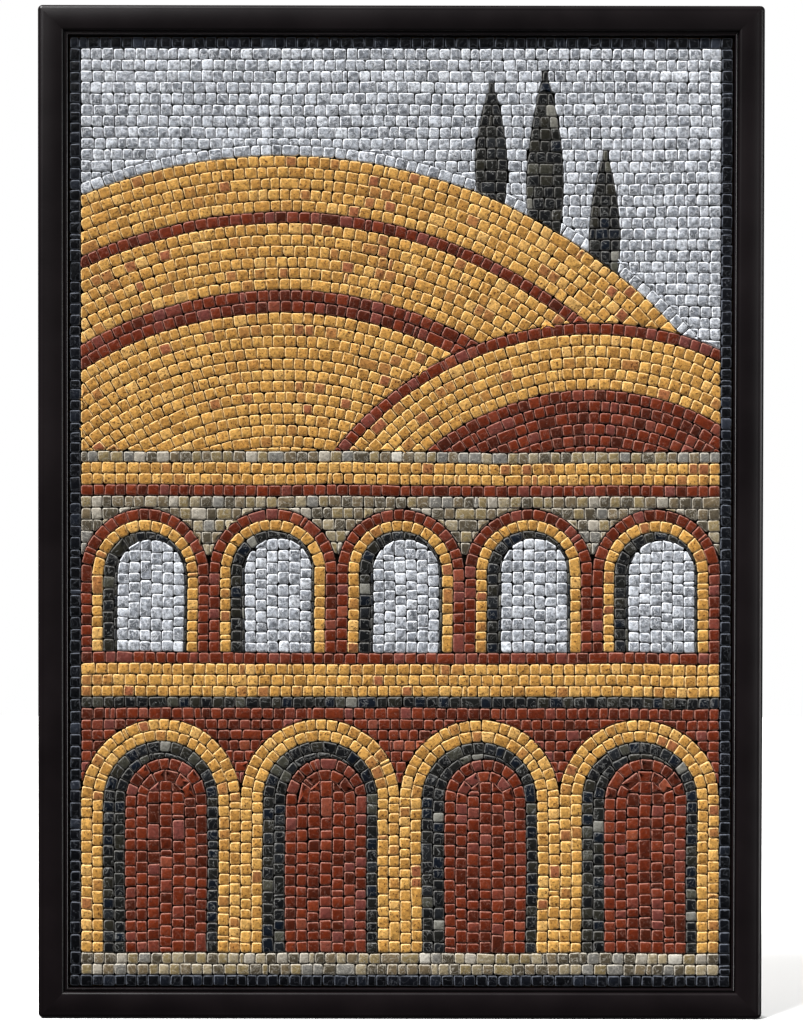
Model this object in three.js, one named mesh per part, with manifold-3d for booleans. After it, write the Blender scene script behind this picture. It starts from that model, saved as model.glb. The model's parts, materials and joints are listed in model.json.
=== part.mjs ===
// A framed marble mosaic panel: an arcade of two tiers below a terraced hill, millimetres, +Z up.
// The panel is drawn flat, x to the right, y up and z out of the wall, and the group turns it upright:
// its flush back lies in the plane y = 0, and its picture looks along -Y.
import * as THREE from "three";
import { mergeVertices } from "three/addons/utils/BufferGeometryUtils.js";
import Module from "manifold-3d";

const wasm = await Module();
wasm.setup();

// Frame
const panelWidth = 676;
const panelHeight = 944;
const panelDepth = 24;
const railWidth = 28;
const cornerRadius = 4.5;
const mitreGap = 0.2;
const edgeRounding = 4.5; // outer front edge of a rail
const shoulderWidth = 3.2; // rounded drop from the face to the lip
const shoulderStart = 21.2; // from the rail's outer side
const shoulderDrop = 0.8; // the convex face falls this far from its crown to either edge
const lipFront = 20.1; // depth of the flat beside the bead
const beadRadius = 1.2;
const rebateWidth = 8;

// What lies inside the frame, from the back to the front
const boardThickness = 9;
const layerGap = 0.3;
const bedFront = 11;
const stoneFront = 19;

// Courses of tesserae
const fieldGap = 1.6; // between the frame's lip and the border course
const joint = 0.4;
const courseCount = 85; // over the height, both border courses included
const grooveWidth = 1.3; // the stones' rounded edges widen the joint at the face
const grooveDepth = 1.1;

const fieldWidth = panelWidth - 2 * (railWidth + fieldGap);
const fieldHeight = panelHeight - 2 * (railWidth + fieldGap);
const course = (fieldHeight + joint) / courseCount;
const pictureWidth = fieldWidth - 2 * course;
const pictureLeft = -pictureWidth / 2;
const pictureRight = pictureWidth / 2;

// The lower edge of a course, counted from the bottom of the picture
const row = (n) => (n + 1) * course - fieldHeight / 2;
// The upper edge of the course below it
const rowTop = (n) => row(n) - joint;

// The picture's levels, as course numbers
const baseTop = 2;
const lowerArcadeTop = 24;
const middleStringTop = 25;
const middleFriezeTop = 28;
const upperSillTop = 29;
const upperArcadeTop = 43;
const upperStringTop = 44;
const upperFriezeTop = 46;
const copingTop = 47;
const pictureTop = 83;

// The tiers of arches
const lowerTier = { bottom: baseTop, top: lowerArcadeTop, bays: 4 };
const upperTier = { bottom: upperSillTop, top: upperArcadeTop, bays: 5 };
const spandrelFoot = 16; // the wedge between two arches starts this far above their springing
const revealShift = course / 2; // the reveals are seen from one side
const arcError = 1.1; // how far the chords of an arch or a hill may leave its curve

// The hills, the far one first, their terraces as numbers of courses from the crest down
const hills = [
  {
    name: "far_hill",
    peakX: -110,
    height: 275,
    radius: 495,
    terraces: [
      ["ochre", 5],
      ["terracotta", 1],
      ["ochre", 6],
      ["terracotta", 2],
    ],
    foot: "ochre",
  },
  {
    name: "near_hill",
    peakX: 178,
    height: 120,
    radius: 300,
    terraces: [
      ["terracotta", 1],
      ["ochre", 5],
    ],
    foot: "terracotta",
  },
];

// The trees on the far hill's crest
const cypresses = [
  { x: 84, height: 112, width: 31 },
  { x: 134, height: 142, width: 36 },
  { x: 190, height: 106, width: 30 },
];

const stones = {
  grey: { color: 0x9fa3a8, roughness: 0.6 },
  ochre: { color: 0xb6863f, roughness: 0.6 },
  terracotta: { color: 0x703a2c, roughness: 0.6 },
  black: { color: 0x35343a, roughness: 0.5 },
  taupe: { color: 0x8e7b5a, roughness: 0.6 },
  night: { color: 0x1c1c22, roughness: 0.45 },
};

const panel = new THREE.Group();
panel.rotation.x = Math.PI / 2;

function addMesh(name, geometry, material) {
  const mesh = new THREE.Mesh(geometry, new THREE.MeshStandardMaterial(material));
  mesh.name = name;
  panel.add(mesh);
  return mesh;
}

// A closed three.js geometry as a solid that can be cut and joined
function solidOf(geometry) {
  const bare = geometry.clone();
  bare.deleteAttribute("normal");
  bare.deleteAttribute("uv");
  const merged = mergeVertices(bare, 1e-4);
  return new wasm.Manifold(
    new wasm.Mesh({
      numProp: 3,
      vertProperties: merged.attributes.position.array,
      triVerts: new Uint32Array(merged.index.array),
    }),
  );
}

function geometryOf(solid) {
  const mesh = solid.getMesh();
  return new THREE.BufferGeometry()
    .setAttribute("position", new THREE.BufferAttribute(mesh.vertProperties, 3))
    .setIndex(new THREE.BufferAttribute(mesh.triVerts, 1));
}

// A flat outline, as a shape or a list of points, thickened from one depth to another
function plate(outline, low, high) {
  const shape = outline instanceof THREE.Shape ? outline : new THREE.Shape(outline);
  const settings = { depth: high - low, bevelEnabled: false };
  return solidOf(new THREE.ExtrudeGeometry(shape, settings).translate(0, 0, low));
}

function rectangle(left, bottom, right, top) {
  return [
    new THREE.Vector2(left, bottom),
    new THREE.Vector2(right, bottom),
    new THREE.Vector2(right, top),
    new THREE.Vector2(left, top),
  ];
}

// ---- frame ----

// A rail's section: x from its outer side to the opening, y from the wall to the front
function railSection() {
  const faceEdge = panelDepth - shoulderDrop;
  const shoulderEnd = shoulderStart + shoulderWidth;
  const beadCentre = railWidth - beadRadius;
  const rebateDepth = boardThickness + layerGap;
  const section = new THREE.Shape();
  section.moveTo(0, 0);
  section.lineTo(0, faceEdge - edgeRounding);
  section.quadraticCurveTo(0.4, faceEdge - 0.4, edgeRounding, faceEdge);
  section.quadraticCurveTo(
    (edgeRounding + shoulderStart) / 2,
    panelDepth + shoulderDrop,
    shoulderStart,
    faceEdge,
  );
  section.quadraticCurveTo(shoulderEnd - 0.3, faceEdge - 0.3, shoulderEnd, lipFront);
  section.lineTo(beadCentre - beadRadius, lipFront);
  section.absarc(beadCentre, lipFront, beadRadius, Math.PI, 0, true);
  section.lineTo(railWidth, rebateDepth);
  section.lineTo(railWidth - rebateWidth, rebateDepth);
  section.lineTo(railWidth - rebateWidth, 0);
  return section;
}

// A rail along the bottom of a panel of that width and height, cut to its mitres and rounded corners
function railGeometry(width, height) {
  const along = new THREE.Matrix4().makeBasis(
    new THREE.Vector3(0, 1, 0),
    new THREE.Vector3(0, 0, 1),
    new THREE.Vector3(1, 0, 0),
  );
  const settings = { depth: width, bevelEnabled: false, curveSegments: 5 };
  const moulding = new THREE.ExtrudeGeometry(railSection(), settings)
    .applyMatrix4(along)
    .translate(-width / 2, -height / 2, 0);
  const reach = railWidth + 2;
  const mitred = [
    new THREE.Vector2(mitreGap - width / 2, -height / 2),
    new THREE.Vector2(width / 2 - mitreGap, -height / 2),
    new THREE.Vector2(width / 2 - mitreGap - reach, reach - height / 2),
    new THREE.Vector2(mitreGap + reach - width / 2, reach - height / 2),
  ];
  return geometryOf(
    solidOf(moulding)
      .intersect(plate(mitred, -1, panelDepth + 1))
      .intersect(plate(roundedPlan(width, height), -1, panelDepth + 1)),
  );
}

function roundedPlan(width, height) {
  const x = width / 2 - cornerRadius;
  const y = height / 2 - cornerRadius;
  const corners = [
    [x, y],
    [-x, y],
    [-x, -y],
    [x, -y],
  ];
  const points = corners.flatMap(([cornerX, cornerY], quarter) => {
    const from = (quarter * Math.PI) / 2;
    const arc = new THREE.EllipseCurve(
      cornerX,
      cornerY,
      cornerRadius,
      cornerRadius,
      from,
      from + Math.PI / 2,
    );
    return arc.getPoints(6);
  });
  return points;
}

function addFrame() {
  const lacquer = { color: 0x1a1315, roughness: 0.35 };
  ["bottom", "right", "top", "left"].forEach((side, quarter) => {
    const upright = quarter % 2 === 1;
    const width = upright ? panelHeight : panelWidth;
    const height = upright ? panelWidth : panelHeight;
    const rail = addMesh("frame_rail_" + side, railGeometry(width, height), lacquer);
    rail.rotation.z = (quarter * Math.PI) / 2;
  });
}

// ---- board and bed behind the stones ----

function addBacking() {
  const boardInset = railWidth - rebateWidth + 0.5;
  const boardX = panelWidth / 2 - boardInset;
  const boardY = panelHeight / 2 - boardInset;
  const board = plate(rectangle(-boardX, -boardY, boardX, boardY), 0, boardThickness);
  addMesh("backing_board", geometryOf(board), { color: 0x8a7156, roughness: 0.9 });

  const bedX = fieldWidth / 2 + fieldGap / 2;
  const bedY = fieldHeight / 2 + fieldGap / 2;
  const bed = plate(rectangle(-bedX, -bedY, bedX, bedY), boardThickness + layerGap, bedFront);
  addMesh("setting_bed", geometryOf(bed), { color: 0x2a2827, roughness: 0.95 });
}

// ---- stones ----

// One area of one stone: its outline, less what lies in it, with a groove between each two courses
function addStones(name, stone, outline, { without = [], within = [], grooves = [] } = {}) {
  let area = plate(outline, bedFront + layerGap, stoneFront);
  for (const window of within) {
    area = area.intersect(plate(window, bedFront, stoneFront + 1));
  }
  for (const neighbour of without) {
    area = area.subtract(plate(neighbour, bedFront, stoneFront + 1));
  }
  for (const groove of grooves) {
    area = area.subtract(plate(groove, stoneFront - grooveDepth, stoneFront + 1));
  }
  addMesh(name, geometryOf(area), stones[stone]);
}

// The grooves above the courses from one row up to another
function straightGrooves(fromRow, toRow) {
  const left = pictureLeft - 1;
  const right = pictureRight + 1;
  const grooves = [];
  for (let n = fromRow + 1; n < toRow; n += 1) {
    const middle = row(n) - joint / 2;
    grooves.push(rectangle(left, middle - grooveWidth / 2, right, middle + grooveWidth / 2));
  }
  return grooves;
}

// The grooves between upright courses, counted from a middle joint
function uprightGrooves(centreX, halfWidth) {
  const grooves = [];
  const across = Math.floor(halfWidth / course);
  for (let k = -across; k <= across; k += 1) {
    const left = centreX + k * course - grooveWidth / 2;
    grooves.push(rectangle(left, row(0), left + grooveWidth, row(pictureTop)));
  }
  return grooves;
}

function addBand(name, stone, fromRow, toRow) {
  const outline = rectangle(pictureLeft, row(fromRow), pictureRight, rowTop(toRow));
  addStones(name, stone, outline, { grooves: straightGrooves(fromRow, toRow) });
}

// The four border courses, two of full height between them two shorter ones
function addBorder() {
  const x = fieldWidth / 2;
  const y = fieldHeight / 2;
  const outline = new THREE.Shape(rectangle(-x, -y, x, y));
  const inner = rectangle(
    pictureLeft - joint,
    row(0) - joint,
    pictureRight + joint,
    rowTop(pictureTop) + joint,
  );
  outline.holes.push(new THREE.Path(inner));
  addStones("border_tesserae", "night", outline);
}

// How many chords make an arc of a radius and an angle
const facetCount = (radius, angle) => Math.ceil(angle / (2 * Math.acos(1 - arcError / radius)));

// Up one leg, over a half circle and down the other leg, from left to right
function archLine(centreX, foot, springing, radius, facets) {
  const points = [new THREE.Vector2(centreX - radius, foot)];
  for (let i = 0; i <= facets; i += 1) {
    const angle = Math.PI * (1 - i / facets);
    points.push(
      new THREE.Vector2(
        centreX + radius * Math.cos(angle),
        springing + radius * Math.sin(angle),
      ),
    );
  }
  points.push(new THREE.Vector2(centreX + radius, foot));
  return points;
}

// Where the bays of a tier lie, and the circle that each arch springs from
function tierBays({ bottom, top, bays }) {
  const pitch = (pictureWidth + joint) / bays;
  const radius = (pitch - joint) / 2;
  const foot = row(bottom);
  const springing = rowTop(top - 1) - joint - radius;
  const facets = facetCount(radius, Math.PI);
  const bayList = [];
  for (let i = 0; i < bays; i += 1) {
    const centreX = pictureLeft + i * pitch + radius;
    bayList.push({
      number: i + 1,
      springing,
      // the upright courses inside the arch at a number of courses from its outside
      upright: (courses) => uprightGrooves(centreX + revealShift, radius - courses * course),
      // the line at a number of courses inside the arch, moved sideways and widened a little
      line: (courses, { grow = 0, shift = 0 } = {}) =>
        archLine(centreX + shift, foot, springing, radius - courses * course + grow, facets),
      past: (grow) => archLine(centreX, foot - 1, springing, radius + grow, facets),
    });
  }
  return bayList;
}

// The stones between two arch lines
const ring = (outer, inner) => [...outer, ...inner.reverse()];

function addSpandrels(name, stone, tier) {
  const bays = tierBays(tier);
  const bottom = bays[0].springing + spandrelFoot;
  const outline = rectangle(pictureLeft, bottom, pictureRight, rowTop(tier.top));
  addStones(name, stone, outline, {
    without: bays.map((bay) => bay.past(joint)),
    grooves: straightGrooves(tier.bottom, tier.top),
  });
}

// Ochre ring of two courses, a black reveal seen from the right, and a closed terracotta bay
function addLowerArches() {
  const inner = 2 + 1.5;
  for (const bay of tierBays(lowerTier)) {
    const groove = ring(
      bay.line(1, { grow: (joint + grooveWidth) / 2 }),
      bay.line(1, { grow: (joint - grooveWidth) / 2 }),
    );
    addStones(
      "lower_arch_ring_" + bay.number,
      "ochre",
      ring(bay.line(0), bay.line(2, { grow: joint })),
      { grooves: [groove] },
    );
    addStones(
      "lower_arch_reveal_" + bay.number,
      "black",
      ring(bay.line(2), bay.line(inner, { grow: joint, shift: revealShift })),
    );
    addStones(
      "lower_arch_infill_" + bay.number,
      "terracotta",
      bay.line(inner, { shift: revealShift }),
      { grooves: bay.upright(inner) },
    );
  }
  addSpandrels("lower_spandrels", "terracotta", lowerTier);
}

// Terracotta and ochre rings of one course, a thin black reveal, and an opening with the sky in it
function addUpperArches() {
  const inner = 2 + 0.75;
  for (const bay of tierBays(upperTier)) {
    addStones(
      "upper_arch_outer_ring_" + bay.number,
      "terracotta",
      ring(bay.line(0), bay.line(1, { grow: joint })),
    );
    addStones(
      "upper_arch_inner_ring_" + bay.number,
      "ochre",
      ring(bay.line(1), bay.line(2, { grow: joint })),
    );
    addStones(
      "upper_arch_reveal_" + bay.number,
      "black",
      ring(bay.line(2), bay.line(inner, { grow: joint, shift: revealShift })),
    );
    addStones(
      "upper_arch_opening_" + bay.number,
      "grey",
      bay.line(inner, { shift: revealShift }),
      { grooves: bay.upright(inner) },
    );
  }
  addSpandrels("upper_spandrels", "taupe", upperTier);
}

const hillCentreY = ({ height, radius }) => rowTop(copingTop) + height - radius;

// A circle round a hill's centre, as wide as its crest less a number of courses
function contour(hill, courses, grow = 0) {
  const radius = hill.radius - courses * course + grow;
  const facets = facetCount(hill.radius, 2 * Math.PI);
  const points = [];
  for (let i = 0; i < facets; i += 1) {
    const angle = (2 * Math.PI * (i + 0.5)) / facets;
    points.push(
      new THREE.Vector2(
        hill.peakX + radius * Math.cos(angle),
        hillCentreY(hill) + radius * Math.sin(angle),
      ),
    );
  }
  return points;
}

const hillsideWindow = rectangle(pictureLeft, row(copingTop), pictureRight, rowTop(pictureTop));

// Curved grooves between the courses of a terrace
function terraceGrooves(hill, from, to) {
  const grooves = [];
  for (let k = from + 1; k < to; k += 1) {
    const groove = new THREE.Shape(contour(hill, k, (joint + grooveWidth) / 2));
    groove.holes.push(new THREE.Path(contour(hill, k, (joint - grooveWidth) / 2)));
    grooves.push(groove);
  }
  return grooves;
}

// A hill's terraces, cut off by the coping below it and by the hill in front of it
function addHill(hill, hillsInFront) {
  const hidden = hillsInFront.map((nearer) => contour(nearer, 0, joint));
  let from = 0;
  hill.terraces.forEach(([stone, courses], i) => {
    const to = from + courses;
    addStones(hill.name + "_terrace_" + (i + 1), stone, contour(hill, from), {
      within: [hillsideWindow],
      without: [contour(hill, to, joint), ...hidden],
      grooves: terraceGrooves(hill, from, to),
    });
    from = to;
  });
  addStones(hill.name + "_foot", hill.foot, contour(hill, from), {
    within: [hillsideWindow],
    without: hidden,
    grooves: terraceGrooves(hill, from, Math.floor(hill.height / course)),
  });
}

const crestAt = (hill, x) => hillCentreY(hill) + Math.sqrt(hill.radius ** 2 - (x - hill.peakX) ** 2);

// A slender tree that is widest below its middle and comes to a blunt tip
function cypressOutline({ x, height, width }, grow = 0) {
  const half = width / 2 + grow;
  const foot = crestAt(hills[0], x) - course;
  const tip = foot + course + height + grow;
  const shape = new THREE.Shape();
  shape.moveTo(x - half / 2, foot);
  shape.bezierCurveTo(x - 1.3 * half, foot + height / 3, x - half, tip - height / 3, x - 3, tip);
  shape.lineTo(x + 3, tip);
  shape.bezierCurveTo(
    x + half,
    tip - height / 3,
    x + 1.3 * half,
    foot + height / 3,
    x + half / 2,
    foot,
  );
  return shape.getPoints(4);
}

function addSkyAndTrees() {
  const farCrest = contour(hills[0], 0, joint);
  cypresses.forEach((tree, i) => {
    addStones("cypress_" + (i + 1), "black", cypressOutline(tree), { without: [farCrest] });
  });
  addStones("sky", "grey", hillsideWindow, {
    without: [
      ...hills.map((hill) => contour(hill, 0, joint)),
      ...cypresses.map((tree) => cypressOutline(tree, joint)),
    ],
    grooves: straightGrooves(copingTop, pictureTop),
  });
}

addFrame();
addBacking();
addBorder();
addSkyAndTrees();
hills.forEach((hill, i) => addHill(hill, hills.slice(i + 1)));
addBand("coping", "taupe", upperFriezeTop, copingTop);
addBand("upper_frieze", "ochre", upperStringTop, upperFriezeTop);
addBand("upper_string", "terracotta", upperArcadeTop, upperStringTop);
addUpperArches();
addBand("upper_sill", "terracotta", middleFriezeTop, upperSillTop);
addBand("middle_frieze", "ochre", middleStringTop, middleFriezeTop);
addBand("middle_string", "black", lowerArcadeTop, middleStringTop);
addLowerArches();
addBand("base", "taupe", 0, baseTop);

export default panel;
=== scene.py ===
import json
import math
import random

import bmesh
import bpy
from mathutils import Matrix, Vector, noise


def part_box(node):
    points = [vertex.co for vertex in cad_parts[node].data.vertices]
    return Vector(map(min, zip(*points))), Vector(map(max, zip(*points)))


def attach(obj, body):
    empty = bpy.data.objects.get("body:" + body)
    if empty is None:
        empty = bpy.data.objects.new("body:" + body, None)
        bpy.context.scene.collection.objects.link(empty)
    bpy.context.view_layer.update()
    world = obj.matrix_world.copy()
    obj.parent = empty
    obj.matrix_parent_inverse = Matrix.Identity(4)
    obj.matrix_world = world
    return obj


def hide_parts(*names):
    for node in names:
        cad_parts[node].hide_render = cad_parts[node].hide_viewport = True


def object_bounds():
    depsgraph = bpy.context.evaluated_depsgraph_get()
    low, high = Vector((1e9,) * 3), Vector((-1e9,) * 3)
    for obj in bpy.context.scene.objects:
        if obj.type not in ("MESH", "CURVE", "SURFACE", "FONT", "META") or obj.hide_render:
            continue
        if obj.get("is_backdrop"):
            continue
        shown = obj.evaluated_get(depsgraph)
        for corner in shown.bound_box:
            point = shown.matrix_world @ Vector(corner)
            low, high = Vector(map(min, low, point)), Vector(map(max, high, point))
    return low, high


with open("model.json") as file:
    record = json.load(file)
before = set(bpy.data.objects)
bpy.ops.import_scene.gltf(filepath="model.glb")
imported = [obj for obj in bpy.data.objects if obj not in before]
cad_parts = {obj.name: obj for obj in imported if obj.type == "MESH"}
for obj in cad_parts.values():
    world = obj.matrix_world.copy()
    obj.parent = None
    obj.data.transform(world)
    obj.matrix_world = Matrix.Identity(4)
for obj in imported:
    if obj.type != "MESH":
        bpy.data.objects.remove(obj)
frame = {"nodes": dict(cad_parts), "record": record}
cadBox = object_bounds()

# A framed marble mosaic: about 4,900 tumbled stones laid by hand in courses, in a frame of
# lacquered wood.
# The picture faces -Y. Lengths are in metres, and mm turns a size in millimetres into them.
mm = 0.001
chance = random.Random(29)
noise.seed_set(29)


courseJoint = 0.4 * mm  # the joint between the CAD model's courses
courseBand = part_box("coping")  # a band of one course
course = courseBand[1].z - courseBand[0].z + courseJoint
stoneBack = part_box("sky")[1].y
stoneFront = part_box("sky")[0].y
pictureLow = Vector((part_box("base")[0].x, 0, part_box("base")[0].z))
pictureHigh = Vector((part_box("sky")[1].x, 0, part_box("sky")[1].z))


subparts = frame["record"]["subparts"]
slotOf = {subpart["node"]: subpart["material_slot"] for subpart in subparts}


laying = {
    "longShare": 0.035,  # stones cut a third as long again or more
    "longWidths": (1.35, 1.8),
    "narrowShare": 0.03,  # slivers that fill a course up
    "narrowWidths": (0.3, 0.65),
    "widthSpread": 0.085,
    "jointShrink": (0.955, 0.995),  # each stone's size against its place
    "turn": 1.5,  # degrees that a stone is laid askew
    "miscut": 0.2 * mm,  # how far a corner is from square
    "wander": 1.5 * mm,  # how far the courses stray from their lines
    "wanderLength": 85 * mm,
    "wanderFade": 25 * mm,  # from the picture's edges, where they run true
    "smallest": 0.07,  # cut stones below this share of a whole one are left out
    "thinnest": 0.9 * mm,
    "cutterReach": 0.5 * mm,  # either way from a stone's middle, to find how a line runs past it
}

stoneShape = {
    "corners": (0.9 * mm, 1.5 * mm, 2.2 * mm),  # radii of the corners, seen from the front
    "cornerShares": (3, 4, 2),
    "cornerRoom": 0.45,  # the most of a side that one corner may take
    "shortest": 0.7 * mm,  # shorter sides are worn away
    "shoulder": (0.55 * mm, 0.6 * mm),  # width and height of the steep part of the rounded edge
    "brow": (0.75 * mm, 0.15 * mm),  # width and height of its flat part
    "crown": 0.06 * mm,
    # a stone with room for this many rounded edges gets that share of one
    "edgeShares": ((1.5, 1), (0.6, 0.4), (0, 0.15)),
    "tilt": 1.5,  # degrees
    "lift": 0.22 * mm,  # how far faces stand in front of or behind each other
}

beds = {}


def bedOf(slotName):
    # The unfinished stones of one marble, as flat faces in the plane of their backs
    if slotName not in beds:
        beds[slotName] = bmesh.new()
        beds[slotName].verts.layers.float_color.new("stone")
    return beds[slotName]


def cutWidths(length):
    # Widths of hand-cut stones that fill a course of that length
    widths = []
    while sum(widths) < length / course - 0.5:
        roll = chance.random()
        if roll < laying["longShare"]:
            widths.append(chance.uniform(*laying["longWidths"]))
        elif roll < laying["longShare"] + laying["narrowShare"]:
            widths.append(chance.uniform(*laying["narrowWidths"]))
        else:
            widths.append(chance.gauss(1, laying["widthSpread"]))
    if not widths:
        return [length]
    return [width * length / sum(widths) for width in widths]


def layCourse(bed, place, length, breadth=None):
    # Lays stones along a course, where place(along, across) gives a point of it
    breadth = breadth or course - courseJoint
    gap = courseJoint / 2
    stones = []
    start = 0
    for width in cutWidths(length):
        end = start + width
        corners = ((start + gap, 0), (end - gap, 0), (end - gap, breadth), (start + gap, breadth))
        stones.append(bed.faces.new([bed.verts.new(place(*corner)) for corner in corners]))
        start = end
    return stones


def trimStones(bed, stones, beyond):
    # Cuts the stones off along a line. beyond(point) is how far a point lies past it
    kept = []
    lost = []
    step = laying["cutterReach"]
    for stone in stones:
        reach = [beyond(corner.co) for corner in stone.verts]
        if max(reach) <= 0:
            kept.append(stone)
            continue
        if min(reach) >= 0:
            lost.append(stone)
            continue
        middle = stone.calc_center_median()
        slope = Vector(
            (
                beyond(middle + Vector((step, 0, 0))) - beyond(middle - Vector((step, 0, 0))),
                0,
                beyond(middle + Vector((0, 0, step))) - beyond(middle - Vector((0, 0, step))),
            )
        ).normalized()
        cut = bmesh.ops.bisect_plane(
            bed,
            geom=[stone, *stone.edges, *stone.verts],
            dist=1e-7,
            plane_co=middle - slope * beyond(middle),
            plane_no=slope,
            clear_outer=True,
        )
        kept.extend(piece for piece in cut["geom"] if isinstance(piece, bmesh.types.BMFace))
    bmesh.ops.delete(bed, geom=lost, context="FACES")
    return kept


def dropSlivers(bed, stones):
    def tooSmall(stone):
        longest = max(edge.calc_length() for edge in stone.edges)
        area = stone.calc_area()
        return area < laying["smallest"] * course**2 or area / longest < laying["thinnest"]

    bmesh.ops.delete(bed, geom=[stone for stone in stones if tooSmall(stone)], context="FACES")


def layRows(bed, low, high, beyondLines=(), trees=()):
    # Straight courses that fill a box, cut off along each line
    stones = []
    rows = round((high.z - low.z + courseJoint) / course)
    pitch = (high.z - low.z + courseJoint) / rows
    for n in range(rows):
        bottom = low.z + n * pitch
        stones += layCourse(
            bed,
            lambda along, across: Vector((low.x + along, stoneBack, bottom + across)),
            high.x - low.x,
            pitch - courseJoint,
        )
    for tree in trees:
        stones = splitAtTree(bed, stones, tree)
    for beyond in beyondLines:
        stones = trimStones(bed, stones, beyond)
    dropSlivers(bed, stones)


def layColumns(bed, low, high, beyondLines=()):
    # Upright courses that fill a box, cut off along each line
    stones = []
    columns = max(1, round((high.x - low.x + courseJoint) / course))
    pitch = (high.x - low.x + courseJoint) / columns
    for n in range(columns):
        left = low.x + n * pitch
        stones += layCourse(
            bed,
            lambda along, across: Vector((left + across, stoneBack, low.z + along)),
            high.z - low.z,
            pitch - courseJoint,
        )
    for beyond in beyondLines:
        stones = trimStones(bed, stones, beyond)
    dropSlivers(bed, stones)


def layBorder():
    # One course all round: two of full width, and two uprights between them
    low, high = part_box("border_tesserae")
    bed = bedOf("border_marble")
    thick = course - courseJoint
    for bottom in (low.z, high.z - thick):
        layRows(bed, Vector((low.x, 0, bottom)), Vector((high.x, 0, bottom + thick)))
    for left in (low.x, high.x - thick):
        layColumns(
            bed,
            Vector((left, 0, low.z + course)),
            Vector((left + thick, 0, high.z - course)),
        )


def layBand(node):
    layRows(bedOf(slotOf[node]), *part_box(node))


class Arch:
    # An arch line: two legs and the half circle over them, read from a CAD node's box
    def __init__(self, node):
        low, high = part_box(node)
        self.radius = (high.x - low.x) / 2
        self.centreX = (high.x + low.x) / 2
        self.foot = low.z
        self.top = high.z
        self.springing = high.z - self.radius

    def distance(self, point):
        # How far a point is from the arch's middle line, to compare with a radius
        if point.z < self.springing:
            return abs(point.x - self.centreX)
        return math.hypot(point.x - self.centreX, point.z - self.springing)

    def outside(self, inset=0.0):
        return lambda point: self.distance(point) - (self.radius - inset)

    def inside(self, grow=0.0):
        return lambda point: self.radius + grow - self.distance(point)

    def layAlong(self, bed, inset):
        # A course that follows the arch, its outer side at that distance inside the line
        outer = self.radius - inset
        middle = outer - course / 2
        leg = self.springing - self.foot
        bend = math.pi * middle

        def place(along, across):
            reach = outer - across
            if along < leg:
                return Vector((self.centreX - reach, stoneBack, self.foot + along))
            if along > leg + bend:
                return Vector((self.centreX + reach, stoneBack, self.foot + 2 * leg + bend - along))
            angle = math.pi - (along - leg) / middle
            return Vector(
                (
                    self.centreX + reach * math.cos(angle),
                    stoneBack,
                    self.springing + reach * math.sin(angle),
                )
            )

        return layCourse(bed, place, 2 * leg + bend)


def layRing(arch, slotName, inset, cutInside=None):
    # A course round an arch, cut off along the line of a narrower arch
    bed = bedOf(slotName)
    stones = arch.layAlong(bed, inset)
    if cutInside:
        stones = trimStones(bed, stones, cutInside.inside(courseJoint))
    dropSlivers(bed, stones)


def layLowerTier():
    arches = []
    for n in range(1, countOf("lower_arch_ring") + 1):
        ring = Arch("lower_arch_ring_%d" % n)
        reveal = Arch("lower_arch_reveal_%d" % n)
        infill = Arch("lower_arch_infill_%d" % n)
        arches.append(ring)
        layRing(ring, "ochre_marble", 0)
        layRing(ring, "ochre_marble", course)
        layRing(reveal, "black_marble", 0, infill)
        layRing(reveal, "black_marble", course, infill)
        rings = int(infill.radius / course) - 1
        for k in range(rings):
            layRing(infill, "terracotta_marble", k * course)
        core = infill.radius - rings * course
        layColumns(
            bedOf("terracotta_marble"),
            Vector((infill.centreX - core, 0, infill.foot)),
            Vector((infill.centreX + core, 0, infill.top - rings * course)),
            [infill.outside(rings * course)],
        )
    # a joint runs level with the crowns, so that no sliver lies over them
    low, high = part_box("lower_spandrels")
    crown = arches[0].top
    for foot, head in ((low.z, crown), (crown + courseJoint, high.z)):
        layRows(
            bedOf("terracotta_marble"),
            Vector((low.x, 0, foot)),
            Vector((high.x, 0, head)),
            [arch.inside(courseJoint) for arch in arches],
        )


def layUpperTier():
    arches = []
    for n in range(1, countOf("upper_arch_outer_ring") + 1):
        outer = Arch("upper_arch_outer_ring_%d" % n)
        inner = Arch("upper_arch_inner_ring_%d" % n)
        reveal = Arch("upper_arch_reveal_%d" % n)
        opening = Arch("upper_arch_opening_%d" % n)
        arches.append(outer)
        layRing(outer, "terracotta_marble", 0)
        layRing(inner, "ochre_marble", 0)
        layRing(reveal, "black_marble", 0, opening)
        layRing(reveal, "black_marble", course, opening)
        layColumns(
            bedOf("grey_marble"),
            Vector((opening.centreX - opening.radius, 0, opening.foot)),
            Vector((opening.centreX + opening.radius, 0, opening.top)),
            [opening.outside()],
        )
    layRows(
        bedOf("taupe_marble"),
        *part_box("upper_spandrels"),
        [arch.inside(courseJoint) for arch in arches],
    )


def countOf(stem):
    return sum(1 for node in frame["nodes"] if node.startswith(stem))


# Each hill is the top of a circle, and its courses follow its crest
hills = {
    "far_hill": {
        "peakX": -110 * mm,
        "height": 275 * mm,
        "radius": 495 * mm,
        "terraces": (5, 1, 6, 2),  # courses of each, from the crest down
    },
    "near_hill": {
        "peakX": 178 * mm,
        "height": 120 * mm,
        "radius": 300 * mm,
        "terraces": (1, 5),
    },
}


def hillDistance(name, point):
    # How far a point is from the centre of a hill's circle
    hill = hills[name]
    centreZ = courseBand[1].z + hill["height"] - hill["radius"]
    return math.hypot(point.x - hill["peakX"], point.z - centreZ)


def insideHill(name, grow):
    return lambda point: hills[name]["radius"] + grow - hillDistance(name, point)


def beyondPicture():
    return [
        lambda point: pictureLow.x - point.x,
        lambda point: point.x - pictureHigh.x,
        lambda point: point.z - pictureHigh.z,
        lambda point: courseBand[1].z + courseJoint - point.z,
    ]


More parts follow.
